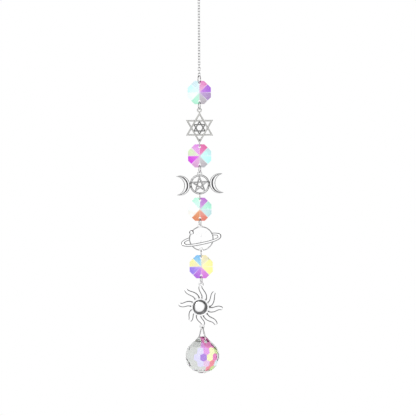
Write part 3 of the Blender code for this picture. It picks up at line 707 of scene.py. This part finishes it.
# The disc from its middle out over the rim to the back: share of the radius, height, painted shade
PLANET_PROFILE = np.array([
    [0.02, 0.40, 0], [0.30, 0.395, 0], [0.60, 0.38, 0], [0.80, 0.36, 0], [0.90, 0.33, 0],
    [0.925, 0.30, 0.5], [0.94, 0.36, 0.9], [0.95, 0.50, 0.6], [0.962, 0.58, 0.2], [0.972, 0.58, 0.2],
    [0.988, 0.42, 0.8], [1.00, 0.15, 1.0], [1.00, -0.30, 0.8], [0.98, -0.55, 0.2], [0.95, -0.60, 0],
    [0.02, -0.60, 0],
])


def planet_disc():
    """A softly domed disc with a fine raised rim, turned around its middle. The rim and its dark
    line of painted shade stop at the eyes' holes: height = plain height + rim height * share of the full
    radius."""
    turn = 2 * math.pi * np.arange(144) / 144
    edge = rim_radius(turn)
    rimmed = np.clip((edge / PLANET_RADIUS - 0.97) / 0.03, 0, 1)[:, None]
    heights = PLANET_PROFILE[None, :, 1]
    plain = np.minimum(heights, 0.30)
    heights = (plain + (heights - plain) * rimmed) * MM
    painted_shade_and_patina = PLANET_PROFILE[None, :, 2] * rimmed
    points, faces, painted_shade_and_patina = turned(edge[:, None] * PLANET_PROFILE[None, :, 0], heights, painted_shade_and_patina)
    return points, [face[::-1] for face in faces], painted_shade_and_patina


# Across the ring from its outer to its inner edge: share, height, painted shade
RING_PROFILE = np.array([
    [0.04, -0.42, 0.4], [0.96, -0.42, 0.4], [1.00, -0.10, 1.0], [0.99, 0.10, 1.0], [0.92, 0.22, 1.0],
    [0.80, 0.36, 0.7], [0.68, 0.38, 0.0], [0.50, 0.37, 0.0], [0.32, 0.38, 0.0], [0.20, 0.36, 0.7],
    [0.08, 0.22, 1.0], [0.01, 0.10, 1.0], [0.00, -0.10, 1.0],
])


def planet_ring():
    """A flat band between two ovals with full ends: share = sign * size ** 0.8 of cos and sin.
    Its lower half passes in front of the disc and its upper half behind it:
    lift = -most lift * tanh(3 * sin of the turn), steepest at the two ends."""
    turn = 2 * math.pi * np.arange(120) / 120
    way = np.stack([np.cos(turn), np.sin(turn)], axis=-1)
    way = np.sign(way) * np.abs(way) ** 0.8
    outer = way * PLANET_RING_OUTER
    inner = way * PLANET_RING_INNER
    lift = -PLANET_RING_LIFT * np.tanh(3 * np.sin(turn))
    profile = RING_PROFILE[:, :2] * [1, MM]
    ring = between(outer, inner, profile, True, 1.0, lift, RING_PROFILE[None, :, 2])
    return shifted(swung(ring, PLANET_RING_TILT), 0, -PLANET_RING_DROP)


def small_moon(steps=40, rows=20):
    """The small moon on the planet's rim: a flattened ball, turned around its middle.
    Radius = widest * sin of the way down, height = depth * cos of it."""
    down = np.linspace(0.06, math.pi - 0.06, rows)
    radii = np.broadcast_to(SMALL_MOON_RADIUS * np.sin(down), (steps, rows))
    points, faces, painted_shade_and_patina = turned(radii, SMALL_MOON_DEPTH * np.cos(down)[None, :])
    moon = points, [face[::-1] for face in faces], painted_shade_and_patina
    across = SMALL_MOON_REACH * math.cos(SMALL_MOON_TURN)
    return shifted(moon, across, SMALL_MOON_REACH * math.sin(SMALL_MOON_TURN))


planet_shells = [planet_disc(), planet_ring(), small_moon()]
planet_shells += [eye(across, up) for across, up in PLANET_EYES]
piece("cast_planet", stood(planet_shells, planet_x, planet_z), CAST, ["planet_charm"])


# Sun charm

# Each eye's place (across, up) from the sun's middle
SUN_EYES = [(0.8 * MM, 13.8 * MM), (1.2 * MM, -11.8 * MM)]
FLAME_WIDTH = 3.4 * MM
FLAME_TAPER = 0.4
FLAME_ROOT = 4.15 * MM
FLAME_WAVE = math.radians(4)
# How far round from the middle of an eye its flame meets the wire
EYE_FLAME_LEAN = math.radians(30)
sun_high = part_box("sun_charm")[1]
sun_x = -0.2 * MM
sun_z = sun_high.z - EYE_OUTER / 2 - SUN_EYES[0][1]


def sun_body():
    """Dome, groove, collar and flat, as one round body.
    Height = dome curve inside 4.1 mm, then the collar's ridge, then the flat.
    The dome's foot carries painted shade, most at the lower right."""
    radius = np.concatenate([
        np.linspace(0.05, 3.6, 16), np.linspace(3.7, 4.75, 16), np.linspace(4.85, 5.3, 8),
        [5.4, 5.4, 5.2, 0.05],
    ])
    heights = np.select(
        [radius < 4.1, radius < 4.9],
        [
            1.7 * np.sqrt(np.clip(1 - (radius / 4.25) ** 2, 0, 1)),
            0.40 + 0.38 * np.exp(-((radius - 4.5) / 0.16) ** 2),
        ],
        0.64,
    )
    heights[-4:] = [0.40, -0.35, -0.5, -0.5]
    steps = 176
    turn = 2 * math.pi * np.arange(steps)[:, None] / steps
    # Painted shade on the dome's foot, reaching furthest in at the lower right
    shade_start = 2.95 - 0.65 * np.cos(turn + math.radians(42))
    shade = np.clip((radius[None, :] - shade_start) / 0.35, 0, 1) * (radius < 4.3)
    radii = np.broadcast_to(radius * MM, (steps, len(radius)))
    points, faces, painted_shade_and_patina = turned(radii, heights * MM, 0.8 * shade)
    return points, [face[::-1] for face in faces], painted_shade_and_patina


# Across a flame from its right to its left edge: share, height, painted shade
FLAME_PROFILE = np.array([
    [0.04, -0.55, 0.3], [0.96, -0.55, 0.3], [1.00, -0.25, 0.8], [1.00, 0.10, 0.9], [0.97, 0.30, 0.9],
    [0.92, 0.44, 0.9], [0.86, 0.52, 0.7], [0.81, 0.54, 0.1], [0.70, 0.55, 0.0], [0.50, 0.55, 0.0],
    [0.30, 0.55, 0.0], [0.19, 0.54, 0.1], [0.14, 0.52, 0.7], [0.08, 0.44, 0.9], [0.03, 0.30, 0.9],
    [0.00, 0.10, 0.9], [0.00, -0.25, 0.8],
])
# The free flames: the tip's angle in degrees and reach in mm, and the swirl on the way in degrees
FREE_FLAMES = [
    (46, 12.6, 31), (129, 13.8, 20), (171, 12.9, 8), (232, 10.4, 21), (312, 14.4, 6), (355, 13.6, 7)
]


def flame(tip, swirl, steps=40):
    """A wavy tongue with a blunt end. Its middle line swirls to the tip's angle and swings once:
    angle = tip angle - swirl * (1 - along) - wave * sin of a whole turn. Width = full width *
    (1 - taper * square of the way along), rounded off at the end. Its outline carries painted
    shade, darkest at the end and where it leaves the collar."""
    tip_angle, tip_reach = math.atan2(tip[1], tip[0]), math.hypot(*tip)
    along = 1 - np.linspace(0.94 ** 0.5, 0.0, steps) ** 2
    swing = FLAME_WAVE * np.sin(2 * math.pi * along)
    angle = tip_angle - math.radians(swirl) * (1 - along) - swing
    reach = FLAME_ROOT + (tip_reach - FLAME_ROOT) * along
    middle = np.stack([reach * np.cos(angle), reach * np.sin(angle), 0 * along], axis=-1)
    blunt = np.sqrt(1 - np.clip((along - 0.93) / 0.0725, 0, 1) ** 2)
    half_width = FLAME_WIDTH / 2 * (1 - FLAME_TAPER * along ** 2) * blunt
    half = left_of(middle, False) * half_width[:, None]
    height = np.clip(0.82 + 1.2 * along, 0, 1) * np.clip(0.75 + 4 * (1 - along), 0, 1)
    # Painted shade at the flame's end and where it leaves the collar
    dark_end = 1.0 + 0.9 * np.exp(-((along - 0.93) / 0.09) ** 2)
    dark_root = np.exp(-((along - 0.14) / 0.06) ** 2)[:, None]
    sides = np.clip(np.abs(FLAME_PROFILE[:, 0] - 0.5) / 0.4 - 0.2, 0, 1)[None, :]
    painted_shade_and_patina = np.clip(FLAME_PROFILE[None, :, 2] * dark_end[:, None] + dark_root * sides, 0, 1)
    profile = FLAME_PROFILE[:, :2] * [1, MM]
    return between(middle[:, :2] - half, middle[:, :2] + half, profile, False, height, 0.0, painted_shade_and_patina)


def sun_flames():
    """The free flames, and the two whose ends meet the wire of an eye."""
    flames = []
    for degrees, reach, swirl in FREE_FLAMES:
        angle = math.radians(degrees)
        flames.append(flame((reach * MM * math.cos(angle), reach * MM * math.sin(angle)), swirl))
    lean = math.pi / 2 - EYE_FLAME_LEAN
    into_wire = np.array([math.cos(lean), math.sin(lean)]) * EYE_LINE_RADIUS
    flames.append(flame(tuple(np.array(SUN_EYES[0]) - into_wire), 25))
    flames.append(flame(tuple(np.array(SUN_EYES[1]) + into_wire), 19))
    return flames


sun_shells = [sun_body()] + sun_flames() + [eye(across, up) for across, up in SUN_EYES]
piece("cast_sun", stood(sun_shells, sun_x, sun_z), CAST, ["sun_charm"])


# Crystals keep their cut shapes

for number, colours in BEAD_TINTS.items():
    node = f"octagon_crystal_{number}"
    dress(node, crystal(f"coated_crystal_{number}", centre_of(node), colours))


# Rows of the ball's facets from the bottom up: the least that a facet of the row faces up, and
# its tints from left to right with the share of the way across where each starts
BALL_ROWS = [
    (-1.0, [0.0], ["mist"]),
    (-0.8, [0.0, 0.45, 0.60, 0.72, 0.85], ["mist", "silver", "flame", "moss", "mist"]),
    (-0.55, [0.0, 0.20, 0.36, 0.54, 0.70, 0.86], ["mist", "silver", "lavender", "lilac", "flame", "ice"]),
    (-0.2, [0.0, 0.26, 0.44, 0.63, 0.80, 0.93], ["mist", "lavender", "iris", "lemon", "fuchsia", "mist"]),
    (0.2, [0.0, 0.36, 0.52, 0.66, 0.80, 0.93], ["mist", "lavender", "orchid", "lemon", "grass", "mist"]),
    (0.55, [0.0, 0.40, 0.50, 0.64, 0.80], ["mist", "moss", "orchid", "fuchsia", "mist"]),
    (0.85, [0.0], ["silver"]),
]


def ball_crystal():
    """Clear crystal with a coating on its front. Each facet takes one tint from the way that it
    faces: its row from how far up, its place in the row from how far right. Light meets the
    coating once on its way through, so the tints are deepened."""
    material, tree, shader = new_material("ball_crystal")
    direction = add(tree, "ShaderNodeTexCoord").outputs["Normal"]
    inside = add(tree, "ShaderNodeNewGeometry").outputs["Backfacing"]
    outward = sum_of(tree, "MULTIPLY_ADD", inside, -2.0, 1.0)
    faced = add(tree, "ShaderNodeVectorMath", {0: direction, "Scale": outward}, operation="SCALE")
    axes = add(tree, "ShaderNodeSeparateXYZ", {"Vector": faced.outputs["Vector"]}).outputs
    right = sum_of(tree, "MULTIPLY_ADD", axes["X"], 0.5, 0.5)
    colour = None
    for least, starts, colours in BALL_ROWS:
        row = ramp(tree, right, starts, colours) if len(colours) > 1 else tint(colours[0])
        above = sum_of(tree, "GREATER_THAN", axes["Z"], least)
        colour = row if colour is None else mixed(tree, above, colour, row)
    colour = add(tree, "ShaderNodeGamma", {"Color": colour, "Gamma": 1.3}).outputs["Color"]
    behind = sum_of(tree, "GREATER_THAN", axes["Y"], 0.0)
    tree.links.new(mixed(tree, behind, colour, tint("clear")), shader.inputs["Base Color"])
    clear_glass(shader, 0.9, 1.25)
    return material


dress("crystal_ball", ball_crystal())


# Studio

def studio_world():
    """White in front and behind, dark at the sides, so that bright metal shows dark edges.
    Brightness rises with how far a direction points to the front or the back. What crystal
    lets through meets paler sides, and the camera and matt surfaces meet plain white."""
    world = bpy.data.worlds.new("studio")
    bpy.context.scene.world = world
    world.use_nodes = True
    tree = world.node_tree
    tree.nodes.clear()
    way = add(tree, "ShaderNodeTexCoord").outputs["Generated"]
    axes = add(tree, "ShaderNodeSeparateXYZ", {"Vector": way}).outputs
    depth = sum_of(tree, "ABSOLUTE", axes["Y"])
    lean = sum_of(tree, "SUBTRACT", axes["Z"], axes["X"])
    leaned = sum_of(tree, "MULTIPLY_ADD", lean, 0.08, depth)
    rays = add(tree, "ShaderNodeLightPath").outputs
    strengths = []
    for darkest, start, end in ((0.03, 0.50, 0.90), (0.80, 0.20, 0.75)):
        strengths.append(add(
            tree,
            "ShaderNodeMapRange",
            {"Value": leaned, "From Min": start, "From Max": end, "To Min": darkest, "To Max": 1.12},
            interpolation_type="SMOOTHSTEP",
        ).outputs["Result"])
    mirrored = mixed(tree, rays["Is Transmission Ray"], strengths[0], strengths[1])
    plain = sum_of(tree, "MAXIMUM", rays["Is Camera Ray"], rays["Is Diffuse Ray"])
    shown = mixed(tree, plain, mirrored, (1.0, 1.0, 1.0, 1.0))
    lit = add(tree, "ShaderNodeBackground", {"Color": shown, "Strength": 1.0})
    add(tree, "ShaderNodeOutputWorld", {"Surface": lit.outputs[0]})


def soft_light(name, place, size, power):
    """A square area light that faces the middle of the object."""
    data = bpy.data.lights.new(name, "AREA")
    data.shape = "SQUARE"
    data.size = size
    data.energy = power
    lamp = bpy.data.objects.new(name, data)
    bpy.context.scene.collection.objects.link(lamp)
    lamp.location = place
    aim = np.array(place) - np.array([0, 0, -0.14])
    lamp.rotation_euler = (math.atan2(math.hypot(aim[0], aim[1]), aim[2]), 0, math.atan2(aim[0], -aim[1]))


def studio_floor():
    """A plain pale floor well below the object."""
    half = 0.55
    level = -0.46
    mesh = bpy.data.meshes.new("floor")
    mesh.from_pydata(
        [(-half, -half, level), (half, -half, level), (half, half, level), (-half, half, level)],
        [], [(0, 1, 2, 3)],
    )
    material, tree, shader = new_material("pale_floor")
    place = add(tree, "ShaderNodeTexCoord").outputs["Object"]
    cloud = add(tree, "ShaderNodeTexNoise", {"Vector": place, "Scale": 6.0})
    pale = add(tree, "ShaderNodeMapRange", {"Value": cloud.outputs["Fac"], "To Min": 0.80, "To Max": 0.86})
    tree.links.new(pale.outputs["Result"], shader.inputs["Base Color"])
    shader.inputs["Roughness"].default_value = 0.7
    mesh.materials.append(material)
    floor = bpy.data.objects.new("floor", mesh)
    bpy.context.scene.collection.objects.link(floor)


CAMERA_PLACE = (4.9 * MM, -1.2, -141.4 * MM)
CAMERA_ROLL = math.radians(0.3)
# A sensor of 36 mm and this lens show 251.7 mm at the object, 0.605 mm for each of 416 pixels
SENSOR_WIDTH = 36.0
LENS = 171.6


def camera():
    """Level, from the front, a little right of the chain, rolled as the photograph is."""
    data = bpy.data.cameras.new("camera")
    data.sensor_width = SENSOR_WIDTH
    data.lens = LENS
    data.clip_start, data.clip_end = 0.05, 10.0
    seat = bpy.data.objects.new("camera", data)
    bpy.context.scene.collection.objects.link(seat)
    seat.location = CAMERA_PLACE
    seat.rotation_mode = "XYZ"
    seat.rotation_euler = (math.radians(90), CAMERA_ROLL, 0)
    bpy.context.scene.camera = seat


studio_world()
soft_light("key_light", (-0.5, -0.9, 0.5), 0.6, 2.5)
soft_light("fill_light", (0.8, -0.6, 0.0), 0.5, 1.0)
studio_floor()
camera()
bpy.context.scene.view_settings.view_transform = "Standard"
